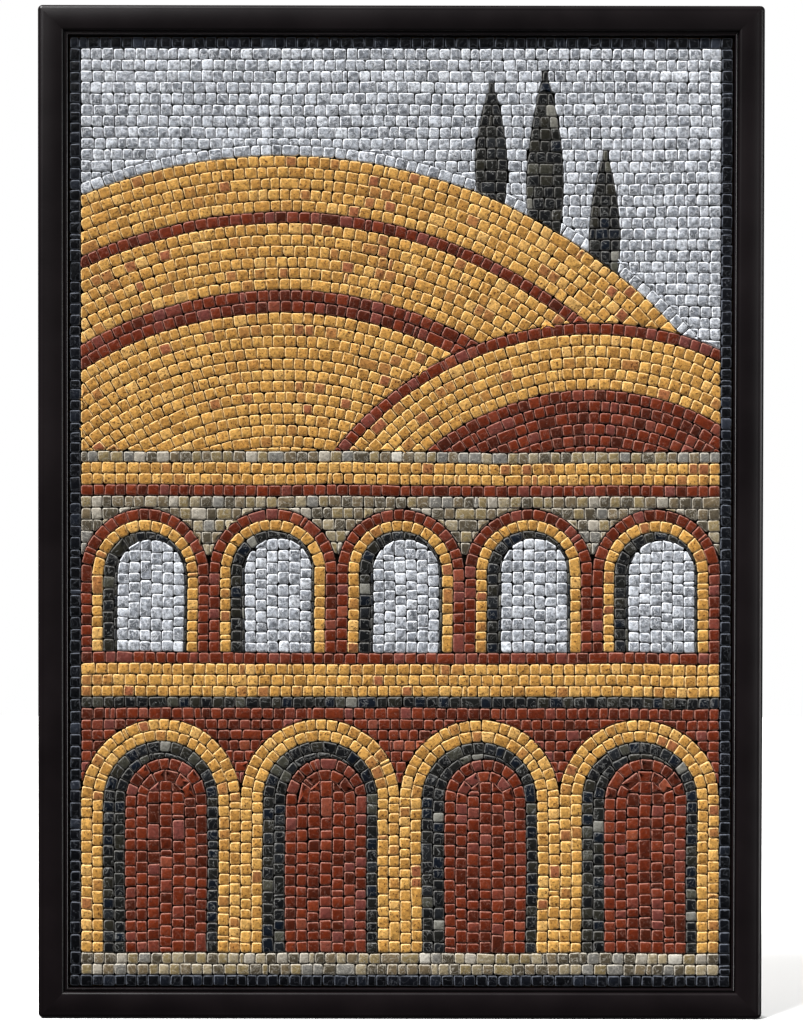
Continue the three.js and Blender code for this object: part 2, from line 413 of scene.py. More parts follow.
def layContour(name, slotName, outer, beyondLines):
    # One course along a circle round a hill's centre, as far as the picture's sides
    hill = hills[name]
    bed = bedOf(slotName)
    centreZ = courseBand[1].z + hill["height"] - hill["radius"]
    middle = outer - course / 2
    fromLeft = (hill["peakX"] - pictureLow.x + course) / middle
    fromRight = (pictureHigh.x - hill["peakX"] + course) / middle
    first = math.pi - math.acos(min(1, fromLeft))
    last = math.acos(min(1, fromRight))

    def place(along, across):
        angle = first - along / middle
        reach = outer - across
        return Vector(
            (hill["peakX"] + reach * math.cos(angle), stoneBack, centreZ + reach * math.sin(angle))
        )

    stones = layCourse(bed, place, (first - last) * middle)
    for beyond in beyondLines:
        stones = trimStones(bed, stones, beyond)
    dropSlivers(bed, stones)


def layHill(name, beyondLines):
    hill = hills[name]
    stoneOfCourse = []
    for n, courses in enumerate(hill["terraces"]):
        stoneOfCourse += [slotOf["%s_terrace_%d" % (name, n + 1)]] * courses
    for k in range(math.ceil(hill["height"] / course)):
        slotName = stoneOfCourse[k] if k < len(stoneOfCourse) else slotOf[name + "_foot"]
        layContour(name, slotName, hill["radius"] - k * course, beyondLines)


cypressShape = {
    "tip": 2.2 * mm,  # half its width there
    "foot": 0.17,  # how far up the swelling its foot stands
    "lowBelly": 0.75,  # below 1 the widest place is under the middle
    "fullness": 0.8,
    "spare": 1.2 * mm,  # stones are laid this far past its sides, then cut
    "lowestSplit": 1 * mm,  # stones that it enters less far aren't cut in two
}


class Cypress:
    # A slender tree, read from its CAD node's box, widest below its middle
    def __init__(self, node):
        self.low, self.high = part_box(node)
        self.centreX = (self.low.x + self.high.x) / 2
        # its tip ends on a joint between two courses of the sky
        skyFoot = courseBand[1].z + courseJoint
        skyHeight = pictureHigh.z - skyFoot + courseJoint
        pitch = skyHeight / round(skyHeight / course)
        joint = round((self.high.z + courseJoint - skyFoot) / pitch)
        self.high.z = skyFoot + joint * pitch - courseJoint

    def halfWidth(self, z):
        up = min(1, max(0, (z - self.low.z) / (self.high.z - self.low.z)))
        foot = cypressShape["foot"]
        swell = math.sin(math.pi * (foot + (1 - foot) * up) ** cypressShape["lowBelly"])
        widest = (self.high.x - self.low.x) / 2
        return max(cypressShape["tip"], widest * max(0, swell) ** cypressShape["fullness"])

    def outside(self, side):
        return lambda point: side * (point.x - self.centreX) - self.halfWidth(point.z)

    def inside(self, grow):
        def beyond(point):
            besideIt = self.halfWidth(point.z) + grow - abs(point.x - self.centreX)
            return min(besideIt, self.high.z + grow - point.z)

        return beyond


def splitAtTree(bed, stones, tree):
    # Stones that a tree's tip would stand in the middle of are cut in two
    whole = []
    for stone in stones:
        across = [corner.co.x - tree.centreX for corner in stone.verts]
        lowest = min(corner.co.z for corner in stone.verts)
        if min(across) < 0 < max(across) and lowest < tree.high.z - cypressShape["lowestSplit"]:
            halves = bmesh.ops.bisect_plane(
                bed,
                geom=[stone, *stone.edges, *stone.verts],
                dist=1e-7,
                plane_co=(tree.centreX, 0, 0),
                plane_no=(1, 0, 0),
            )["geom"]
            cut = [piece for piece in halves if isinstance(piece, bmesh.types.BMFace)]
            seam = [edge for edge in bed.edges if edge.is_manifold]
            bmesh.ops.split_edges(bed, edges=seam)
            whole += cut
        else:
            whole.append(stone)
    return whole


def layTree(tree):
    # Short courses, each as long as the tree is wide there, then cut off along its sides
    bed = bedOf("black_marble")
    rows = round((tree.high.z - tree.low.z + courseJoint) / course)
    pitch = (tree.high.z - tree.low.z + courseJoint) / rows
    for n in range(rows):
        bottom = tree.low.z + n * pitch
        half = max(tree.halfWidth(bottom + share * pitch) for share in (0, 0.5, 1))
        half += cypressShape["spare"]
        stones = layCourse(
            bed,
            lambda along, across: Vector((tree.centreX - half + along, stoneBack, bottom + across)),
            2 * half,
            pitch - courseJoint,
        )
        for beyond in (tree.outside(-1), tree.outside(1), insideHill("far_hill", courseJoint)):
            stones = trimStones(bed, stones, beyond)
        dropSlivers(bed, stones)


def layTreesAndSky():
    trees = [Cypress("cypress_%d" % n) for n in range(1, countOf("cypress") + 1)]
    for tree in trees:
        layTree(tree)
    hollows = [tree.inside(courseJoint) for tree in trees]
    nearCrest = insideHill("near_hill", courseJoint)
    crest = hills["far_hill"]["radius"]
    layContour("far_hill", "grey_marble", crest + course, [*hollows, nearCrest, *beyondPicture()])
    layRows(
        bedOf("grey_marble"),
        Vector((pictureLow.x, 0, courseBand[1].z + courseJoint)),
        pictureHigh,
        [insideHill("far_hill", course), nearCrest, *hollows],
        trees,
    )


def cornerOrder(corner):
    # Sorts corners by place, because operators hand them back in any order and a draw has to
    # fall to the same stone each run
    slant = 0.618  # sets stones of one course apart from those beside them
    return corner.co.x + slant * corner.co.z


def stoneOrder(stone):
    return sum(sorted(cornerOrder(corner) for corner in stone.verts))


def wanderOf(point):
    # How far the courses stray at a point, nothing at the picture's edges
    edge = min(
        point.x - pictureLow.x,
        pictureHigh.x - point.x,
        point.z - pictureLow.z,
        pictureHigh.z - point.z,
    )
    fade = max(0, min(1, edge / laying["wanderFade"]))
    stray = noise.noise_vector(point / laying["wanderLength"])
    return Vector((stray.x, 0, stray.z)) * laying["wander"] * fade


def settleStones(bed):
    # Each stone is laid a little askew, short of its joints, and the courses wander
    for stone in sorted(bed.faces, key=stoneOrder):
        middle = stone.calc_center_median()
        turn = math.radians(chance.gauss(0, laying["turn"]))
        size = chance.uniform(*laying["jointShrink"])
        for corner in sorted(stone.verts, key=cornerOrder):
            x = (corner.co.x - middle.x) * size + chance.gauss(0, laying["miscut"])
            z = (corner.co.z - middle.z) * size + chance.gauss(0, laying["miscut"])
            corner.co.x = middle.x + x * math.cos(turn) - z * math.sin(turn)
            corner.co.z = middle.z + x * math.sin(turn) + z * math.cos(turn)
            corner.co += wanderOf(corner.co)


def roundCorners(bed):
    # Corners seen from the front, in three sizes, as stones knocked together in a drum get
    bmesh.ops.dissolve_degenerate(bed, edges=bed.edges, dist=stoneShape["shortest"])
    radii = stoneShape["corners"]
    groups = {radius: [] for radius in radii}
    for corner in sorted(bed.verts, key=cornerOrder):
        room = stoneShape["cornerRoom"] * min(edge.calc_length() for edge in corner.link_edges)
        wish = chance.choices(radii, stoneShape["cornerShares"])[0]
        fitting = [radius for radius in radii if radius <= min(wish, room)]
        if fitting:
            groups[fitting[-1]].append(corner)
    for radius, group in groups.items():
        bmesh.ops.bevel(
            bed,
            geom=group,
            offset=radius,
            offset_type="OFFSET",
            segments=2,
            profile=0.5,
            affect="VERTICES",
            clamp_overlap=False,
            material=-1,
        )


def raiseStones(bed):
    # Gives each face its thickness, a tilt of its own and a rounded edge
    flats = list(bed.faces)
    shoulderWidth, shoulderHeight = stoneShape["shoulder"]
    browWidth, browHeight = stoneShape["brow"]
    raised = bmesh.ops.extrude_face_region(bed, geom=flats, use_keep_orig=True)["geom"]
    tops = [piece for piece in raised if isinstance(piece, bmesh.types.BMFace)]
    base = stoneFront + shoulderHeight + browHeight + stoneShape["lift"]
    groups = {share: [] for least, share in stoneShape["edgeShares"]}
    for top in sorted(tops, key=stoneOrder):
        middle = top.calc_center_median()
        tiltX = math.tan(math.radians(chance.gauss(0, stoneShape["tilt"])))
        tiltZ = math.tan(math.radians(chance.gauss(0, stoneShape["tilt"])))
        lift = chance.uniform(-1, 1) * stoneShape["lift"]
        for corner in top.verts:
            slant = tiltX * (corner.co.x - middle.x) + tiltZ * (corner.co.z - middle.z)
            corner.co.y = base + lift + slant
        reach = 2 * top.calc_area() / top.calc_perimeter()  # about the radius of a circle in it
        room = reach / (shoulderWidth + browWidth)
        share = next(share for least, share in stoneShape["edgeShares"] if room > least)
        groups[share].append(top)
    bmesh.ops.recalc_face_normals(bed, faces=bed.faces)
    for width, height in ((shoulderWidth, shoulderHeight), (browWidth, browHeight)):
        for share, group in groups.items():
            bmesh.ops.inset_individual(
                bed,
                faces=group,
                thickness=width * share,
                depth=height,
                use_even_offset=True,
            )
    brows = {corner for top in tops for corner in top.verts}
    crowns = bmesh.ops.poke(bed, faces=tops, offset=stoneShape["crown"])["verts"]
    return set(crowns), brows


def colourStones(bed, crowns, brows):
    # One colour attribute: a tone and two offsets for each stone, and 1 at its worn edges, where
    # the material lays pale drum bruising together with a painted highlight
    layer = bed.verts.layers.float_color["stone"]
    for crown in sorted(crowns, key=cornerOrder):
        tone = (chance.random(), chance.random(), chance.random())
        island = {crown}
        front = [crown]
        while front:
            for edge in front.pop().link_edges:
                for corner in edge.verts:
                    if corner not in island:
                        island.add(corner)
                        front.append(corner)
        for corner in island:
            wornAndHighlit = 0 if corner in crowns or corner in brows else 1
            corner[layer] = (*tone, wornAndHighlit)


def finishStones(slotName, material):
    bed = beds[slotName]
    settleStones(bed)
    roundCorners(bed)
    crowns, brows = raiseStones(bed)
    colourStones(bed, crowns, brows)
    for face in bed.faces:
        face.smooth = True
    name = slotName.replace("marble", "stones")
    mesh = bpy.data.meshes.new(name)
    bed.to_mesh(mesh)
    count = len(crowns)
    bed.free()
    mesh.materials.append(material)
    piece = bpy.data.objects.new(name, mesh)
    bpy.context.collection.objects.link(piece)
    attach(piece, "root")
    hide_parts(*[node for node, slot in slotOf.items() if slot == slotName])
    print(name, count, "stones,", len(mesh.polygons), "faces")
    return piece


def linearColour(hexCode):
    channels = [int(hexCode[i : i + 2], 16) / 255 for i in (1, 3, 5)]
    return (*[c / 12.92 if c <= 0.04045 else ((c + 0.055) / 1.055) ** 2.4 for c in channels], 1)


def addNode(tree, kind, inputs=None, **settings):
    # A node with its settings, and its sockets set or fed by another node's output
    node = tree.nodes.new(kind)
    for name, value in settings.items():
        setattr(node, name, value)
    for socket, value in (inputs or {}).items():
        if isinstance(value, bpy.types.NodeSocket):
            tree.links.new(value, node.inputs[socket])
        else:
            node.inputs[socket].default_value = value
    return node


def fillRamp(node, stops, interpolation="LINEAR"):
    # Stops are (position, hex colour) pairs
    node.color_ramp.interpolation = interpolation
    elements = node.color_ramp.elements
    while len(elements) < len(stops):
        elements.new(0.5)
    for element, (position, hexCode) in zip(elements, stops):
        element.position = position
        element.color = linearColour(hexCode)


def newMaterial(name):
    material = bpy.data.materials.new(name)
    material.use_nodes = True
    tree = material.node_tree
    return material, tree, tree.nodes["Principled BSDF"]


def tumbledMarble(name, look):
    # Cut marble tumbled with grit: a matt, faintly waxy face with frosted edges that also carry a
    # painted highlight, and small pits
    material, tree, shader = newMaterial(name)
    stone = addNode(tree, "ShaderNodeAttribute", attribute_name="stone")
    tone = addNode(tree, "ShaderNodeSeparateColor", {"Color": stone.outputs["Color"]})
    place = addNode(tree, "ShaderNodeTexCoord").outputs["Object"]
    # every stone shows another part of the block
    shift = addNode(
        tree,
        "ShaderNodeVectorMath",
        {0: stone.outputs["Color"], 1: (5.1, 7.3, 3.7)},
        operation="MULTIPLY",
    )
    spot = addNode(
        tree, "ShaderNodeVectorMath", {0: place, 1: shift.outputs[0]}, operation="ADD"
    ).outputs[0]
    palette = addNode(tree, "ShaderNodeValToRGB", {"Fac": tone.outputs["Red"]})
    fillRamp(palette, look["palette"], look.get("blend", "LINEAR"))

    # clouds a few millimetres across, and the stone's own lightness
    clouds = addNode(
        tree,
        "ShaderNodeTexNoise",
        {"Vector": spot, "Scale": 1 / look["cloudSize"], "Detail": 4.0, "Roughness": 0.62},
    )
    cloudLight = addNode(
        tree,
        "ShaderNodeMapRange",
        {
            "Value": clouds.outputs["Fac"],
            "From Min": 0.5 - look["cloudBlend"],
            "From Max": 0.5 + look["cloudBlend"],
            "To Min": look["cloudLight"][0],
            "To Max": look["cloudLight"][1],
        },
    )
    ownLight = addNode(
        tree,
        "ShaderNodeMapRange",
        {
            "Value": tone.outputs["Green"],
            "To Min": look["ownLight"][0],
            "To Max": look["ownLight"][1],
        },
    )
    light = addNode(
        tree,
        "ShaderNodeMath",
        {0: cloudLight.outputs[0], 1: ownLight.outputs[0]},
        operation="MULTIPLY",
    )
    clouded = addNode(
        tree,
        "ShaderNodeVectorMath",
        {0: palette.outputs["Color"], "Scale": light.outputs[0]},
        operation="SCALE",
    )

    # veins, the lines where a second cloud crosses its middle value
    veinCloud = addNode(
        tree,
        "ShaderNodeTexNoise",
        {
            "Vector": spot,
            "Scale": 1 / look["veinSpacing"],
            "Detail": 3.0,
            "Roughness": 0.55,
            "Distortion": 0.6,
        },
    )
    offMiddle = addNode(
        tree, "ShaderNodeMath", {0: veinCloud.outputs["Fac"], 1: 0.5}, operation="SUBTRACT"
    )
    nearMiddle = addNode(tree, "ShaderNodeMath", {0: offMiddle.outputs[0]}, operation="ABSOLUTE")
    vein = addNode(
        tree,
        "ShaderNodeMapRange",
        {
            "Value": nearMiddle.outputs[0],
            "From Min": 0.0,
            "From Max": look["veinWidth"],
            "To Min": look["veinStrength"],
            "To Max": 0.0,
        },
    )
    veined = addNode(
        tree,
        "ShaderNodeMix",
        {6: clouded.outputs[0], 7: linearColour(look["veinColour"]), 0: vein.outputs[0]},
        data_type="RGBA",
    )

    # pits and specks up to a millimetre across, drawn coarse enough to show
    specks = addNode(
        tree,
        "ShaderNodeTexNoise",
        {"Vector": spot, "Scale": 1 / (2.2 * mm), "Detail": 3.0, "Roughness": 0.6},
    )
    pit = addNode(
        tree,
        "ShaderNodeMapRange",
        {
            "Value": specks.outputs["Fac"],
            "From Min": look["pitLevel"],
            "From Max": look["pitLevel"] + 0.09,
            "To Min": 0.0,
            "To Max": look["pitStrength"],
        },
    )
    pitted = addNode(
        tree,
        "ShaderNodeMix",
        {6: veined.outputs[2], 7: linearColour(look["pitColour"]), 0: pit.outputs[0]},
        data_type="RGBA",
    )

    # edges bruised pale by the drum, with a painted highlight laid over them too, more here and
    # less there
    bruisesAndHighlight = addNode(
        tree,
        "ShaderNodeMapRange",
        {
            "Value": clouds.outputs["Fac"],
            "From Min": 0.35,
            "From Max": 0.6,
            "To Min": 0.15,
            "To Max": look["frostAndHighlightStrength"],
        },
    )
    rim = addNode(
        tree, "ShaderNodeMath", {0: stone.outputs["Alpha"], 1: 2.0}, operation="POWER"
    )
    frostAndHighlight = addNode(
        tree,
        "ShaderNodeMath",
        {0: rim.outputs[0], 1: bruisesAndHighlight.outputs[0]},
        operation="MULTIPLY",
    )
    frostedAndHighlit = addNode(
        tree,
        "ShaderNodeMix",
        {6: pitted.outputs[2], 7: linearColour(look["frostAndHighlightColour"]), 0: frostAndHighlight.outputs[0]},
        data_type="RGBA",
    )
    roughness = addNode(
        tree,
        "ShaderNodeMapRange",
        {
            "Value": specks.outputs["Fac"],
            "From Min": 0.35,
            "From Max": 0.65,
            "To Min": look["roughness"][0],
            "To Max": look["roughness"][1],
        },
    )
    unevenness = addNode(
        tree,
        "ShaderNodeBump",
        {"Height": clouds.outputs["Fac"], "Strength": 0.7, "Distance": look["relief"]},
    )
    grain = addNode(
        tree,
        "ShaderNodeBump",
        {
            "Height": specks.outputs["Fac"],
            "Normal": unevenness.outputs[0],
            "Strength": 0.5,
            "Distance": 0.25 * mm,
        },
    )
    tree.links.new(frostedAndHighlit.outputs[2], shader.inputs["Base Color"])
    tree.links.new(roughness.outputs[0], shader.inputs["Roughness"])
    tree.links.new(grain.outputs[0], shader.inputs["Normal"])
    shader.inputs["IOR"].default_value = 1.5
    shader.inputs["Specular IOR Level"].default_value = look["shine"]
    return material


# each marble's pale edge colour and strength stand for drum bruising together with a painted
# highlight on the rounded edges
marbles = {
    "grey_marble": {
        "palette": (
            (0.0, "#74787f"),
            (0.3, "#8b8f96"),
            (0.6, "#9ca0a7"),
            (0.85, "#adb1b8"),
            (1.0, "#c6cad0"),
        ),
        "cloudSize": 4.2 * mm,
        "cloudBlend": 0.13,
        "cloudLight": (0.45, 1.52),
        "ownLight": (0.86, 1.14),
        "veinSpacing": 6 * mm,
        "veinWidth": 0.03,
        "veinStrength": 0.85,
        "veinColour": "#e6e8ec",
        "pitLevel": 0.57,
        "pitStrength": 0.7,
        "pitColour": "#464a51",
        "frostAndHighlightStrength": 1.0,
        "frostAndHighlightColour": "#f0f2f6",
        "roughness": (0.45, 0.7),
        "relief": 1.0 * mm,
        "shine": 0.25,
    },
    "ochre_marble": {
        "palette": (
            (0.0, "#96583a"),
            (0.04, "#a06a3c"),
            (0.12, "#b07f3d"),
            (0.55, "#c08d45"),
            (0.9, "#ca994f"),
            (1.0, "#d3a560"),
        ),
        "cloudSize": 3.2 * mm,
        "cloudBlend": 0.16,
        "cloudLight": (0.7, 1.37),
        "ownLight": (0.93, 1.07),
        "veinSpacing": 7 * mm,
        "veinWidth": 0.014,
        "veinStrength": 0.55,
        "veinColour": "#6d3a1a",
        "pitLevel": 0.565,
        "pitStrength": 0.9,
        "pitColour": "#47220c",
        "frostAndHighlightStrength": 0.9,
        "frostAndHighlightColour": "#f2cf92",
        "roughness": (0.55, 0.8),
        "relief": 0.9 * mm,
        "shine": 0.1,
    },
    "terracotta_marble": {
        "palette": (
            (0.0, "#431808"),
            (0.2, "#5a1f0a"),
            (0.55, "#69260d"),
            (0.8, "#722f17"),
            (0.97, "#6e3a34"),
            (1.0, "#8c4526"),
        ),
        "cloudSize": 3.2 * mm,
        "cloudBlend": 0.2,
        "cloudLight": (0.72, 1.22),
        "ownLight": (0.92, 1.08),
        "veinSpacing": 9 * mm,
        "veinWidth": 0.01,
        "veinStrength": 0.4,
        "veinColour": "#a57a6d",
        "pitLevel": 0.6,
        "pitStrength": 0.55,
        "pitColour": "#2b0f08",
        "frostAndHighlightStrength": 0.8,
        "frostAndHighlightColour": "#ad7c6e",
        "roughness": (0.5, 0.75),
        "relief": 0.8 * mm,
        "shine": 0.08,
    },
    "black_marble": {
        "palette": (
            (0.0, "#0f1012"),
            (0.3, "#171715"),
            (0.5, "#0c131d"),
            (0.66, "#25231c"),
            (0.8, "#1c1e21"),
            (0.9, "#3f3e35"),
            (0.97, "#77756d"),
        ),
        "blend": "CONSTANT",
        "cloudSize": 3 * mm,
        "cloudBlend": 0.2,
        "cloudLight": (0.7, 1.35),
        "ownLight": (0.82, 1.2),
        "veinSpacing": 9 * mm,
        "veinWidth": 0.012,
        "veinStrength": 0.6,
        "veinColour": "#9a9a98",
        "pitLevel": 0.6,
        "pitStrength": 0.4,
        "pitColour": "#0c0c0e",
        "frostAndHighlightStrength": 0.55,
        "frostAndHighlightColour": "#8a8884",
        "roughness": (0.4, 0.62),
        "relief": 0.8 * mm,
        "shine": 0.1,
    },
    "taupe_marble": {
        "palette": (
            (0.0, "#4d4434"),
            (0.2, "#6e5f47"),
            (0.42, "#84734f"),
            (0.62, "#94866a"),
            (0.78, "#77746e"),
            (0.9, "#a39b8d"),
            (0.97, "#c2bcb0"),
        ),
        "blend": "CONSTANT",
        "cloudSize": 3 * mm,
        "cloudBlend": 0.2,
        "cloudLight": (0.65, 1.25),
        "ownLight": (0.88, 1.12),
        "veinSpacing": 7 * mm,
        "veinWidth": 0.02,
        "veinStrength": 0.5,
        "veinColour": "#d0cabd",
        "pitLevel": 0.6,
        "pitStrength": 0.5,
        "pitColour": "#3a3226",
        "frostAndHighlightStrength": 0.7,
        "frostAndHighlightColour": "#cfc8ba",
        "roughness": (0.5, 0.75),
        "relief": 0.8 * mm,
        "shine": 0.2,
    },
    "border_marble": {
        "palette": (
            (0.0, "#040508"),
            (0.5, "#07080c"),
            (0.8, "#0c0e14"),
            (0.95, "#161a22"),
            (1.0, "#2b2f38"),
        ),
        "cloudSize": 3.5 * mm,
        "cloudBlend": 0.2,
        "cloudLight": (0.75, 1.3),
        "ownLight": (0.85, 1.15),
        "veinSpacing": 14 * mm,
        "veinWidth": 0.008,
        "veinStrength": 0.4,
        "veinColour": "#70737a",
        "pitLevel": 0.62,
        "pitStrength": 0.4,
        "pitColour": "#060609",
        "frostAndHighlightStrength": 0.55,
        "frostAndHighlightColour": "#7d828d",
        "roughness": (0.38, 0.58),
        "relief": 0.8 * mm,
        "shine": 0.08,
    },
}


lacquers = {
    "face": {"name": "satin_espresso_lacquer_on_wood", "roughness": (0.28, 0.4), "shine": 0.25},
    "bead": {
        "name": "hand_rubbed_espresso_lacquer_on_bead",
        "roughness": (0.14, 0.2),
        "shine": 0.6,
    },
}


def espressoLacquer(look):
    # Satin lacquer sprayed on planed wood: near black with a brown cast, and a soft sheen.
    # Rubbing leaves the bead shinier, so that it draws a thin bright line
    material, tree, shader = newMaterial(look["name"])
    place = addNode(tree, "ShaderNodeTexCoord").outputs["Object"]
    streaks = addNode(
        tree,
        "ShaderNodeTexNoise",
        {"Vector": place, "Scale": 1 / (60 * mm), "Detail": 3.0, "Roughness": 0.5},
    )
    colour = addNode(tree, "ShaderNodeValToRGB", {"Fac": streaks.outputs["Fac"]})
    fillRamp(colour, ((0.3, "#0d080a"), (0.7, "#150f11")))
    peel = addNode(
        tree,
        "ShaderNodeTexNoise",
        {"Vector": place, "Scale": 1 / (3 * mm), "Detail": 2.0, "Roughness": 0.5},
    )
    roughness = addNode(
        tree,
        "ShaderNodeMapRange",
        {
            "Value": streaks.outputs["Fac"],
            "To Min": look["roughness"][0],
            "To Max": look["roughness"][1],
        },
    )
    bump = addNode(
        tree,
        "ShaderNodeBump",
        {"Height": peel.outputs["Fac"], "Strength": 0.15, "Distance": 0.2 * mm},
    )
    tree.links.new(colour.outputs["Color"], shader.inputs["Base Color"])
    tree.links.new(roughness.outputs[0], shader.inputs["Roughness"])
    tree.links.new(bump.outputs[0], shader.inputs["Normal"])
    shader.inputs["Specular IOR Level"].default_value = look["shine"]
    return material


def rawFibreboard():
    # Fibreboard as it comes from the press: matt, light brown, with fine darker fibres
    material, tree, shader = newMaterial("pressed_fibreboard")
    place = addNode(tree, "ShaderNodeTexCoord").outputs["Object"]
    fibres = addNode(
        tree,
        "ShaderNodeTexNoise",
        {"Vector": place, "Scale": 1 / (2.5 * mm), "Detail": 5.0, "Roughness": 0.75},
    )
    blotches = addNode(
        tree,
        "ShaderNodeTexNoise",
        {"Vector": place, "Scale": 1 / (120 * mm), "Detail": 2.0, "Roughness": 0.5},
    )
    fibreColour = addNode(tree, "ShaderNodeValToRGB", {"Fac": fibres.outputs["Fac"]})
    fillRamp(fibreColour, ((0.3, "#6f5437"), (0.5, "#957450"), (0.72, "#b39470")))
    colour = addNode(
        tree,
        "ShaderNodeMix",
        {6: fibreColour.outputs["Color"], 7: linearColour("#7d6242"), 0: blotches.outputs["Fac"]},
        data_type="RGBA",
    )
    bump = addNode(
        tree,
        "ShaderNodeBump",
        {"Height": fibres.outputs["Fac"], "Strength": 0.4, "Distance": 0.2 * mm},
    )
    tree.links.new(colour.outputs[2], shader.inputs["Base Color"])
    tree.links.new(bump.outputs[0], shader.inputs["Normal"])
    shader.inputs["Roughness"].default_value = 0.85
    shader.inputs["Specular IOR Level"].default_value = 0.25
    return material


def darkAdhesive():
    # Cement adhesive combed on and left dark: dead matt and gritty, seen only down in the joints
    material, tree, shader = newMaterial("combed_dark_cement_adhesive")
    place = addNode(tree, "ShaderNodeTexCoord").outputs["Object"]
    grit = addNode(
        tree,
        "ShaderNodeTexNoise",
        {"Vector": place, "Scale": 1 / (1.2 * mm), "Detail": 4.0, "Roughness": 0.7},
    )
    colour = addNode(tree, "ShaderNodeValToRGB", {"Fac": grit.outputs["Fac"]})
    fillRamp(colour, ((0.3, "#141210"), (0.7, "#2c2823")))
    bump = addNode(
        tree,
        "ShaderNodeBump",
        {"Height": grit.outputs["Fac"], "Strength": 0.6, "Distance": 0.4 * mm},
    )
    tree.links.new(colour.outputs["Color"], shader.inputs["Base Color"])
    tree.links.new(bump.outputs[0], shader.inputs["Normal"])
    shader.inputs["Roughness"].default_value = 0.95
    return material


moulding = {
    "width": 28 * mm,
    "cornerRadius": 4.5 * mm,
    "edgeRounding": 4.5 * mm,
    "edgeFullness": 0.4 * mm,  # how near the rounding comes to a square edge
    "shoulder": (21.2 * mm, 24.4 * mm),  # where the rounded drop starts and ends
    "shoulderFullness": 0.3 * mm,
    "faceFall": 0.8 * mm,  # the convex face falls this far from its crown to either edge
    "lip": 20.1 * mm,  # depth of the flat beside the bead
    "beadRadius": 1.2 * mm,
    "steps": 8,  # of each curve, and of each rounded corner
    "rebate": (20 * mm, 9.3 * mm),  # from the outer side, and its depth
}


def mouldingSteps(depth):
    # Points of the rail's face: distance from its outer side, and depth from the wall
    def curve(start, control, end):
        for i in range(1, steps + 1):
            t = i / steps
            yield tuple(
                (1 - t) ** 2 * a + 2 * t * (1 - t) * b + t**2 * c
                for a, b, c in zip(start, control, end)
            )

    steps = moulding["steps"]
    edge = depth - moulding["faceFall"]
    edgeFullness = moulding["edgeFullness"]
    shoulderFullness = moulding["shoulderFullness"]
    rounding = moulding["edgeRounding"]
    shoulderStart, shoulderEnd = moulding["shoulder"]
    bead = moulding["beadRadius"]
    beadCentre = moulding["width"] - bead
    yield from curve(
        (0, edge - rounding),
        (edgeFullness, edge - edgeFullness),
        (rounding, edge),
    )
    yield from curve(
        (rounding, edge),
        ((rounding + shoulderStart) / 2, depth + moulding["faceFall"]),
        (shoulderStart, edge),
    )
    yield from curve(
        (shoulderStart, edge),
        (shoulderEnd - shoulderFullness, edge - shoulderFullness),
        (shoulderEnd, moulding["lip"]),
    )
    yield (beadCentre - bead, moulding["lip"])
    for i in range(1, steps + 1):
        angle = math.pi * (1 - i / steps)
        yield (beadCentre + bead * math.cos(angle), moulding["lip"] + bead * math.sin(angle))


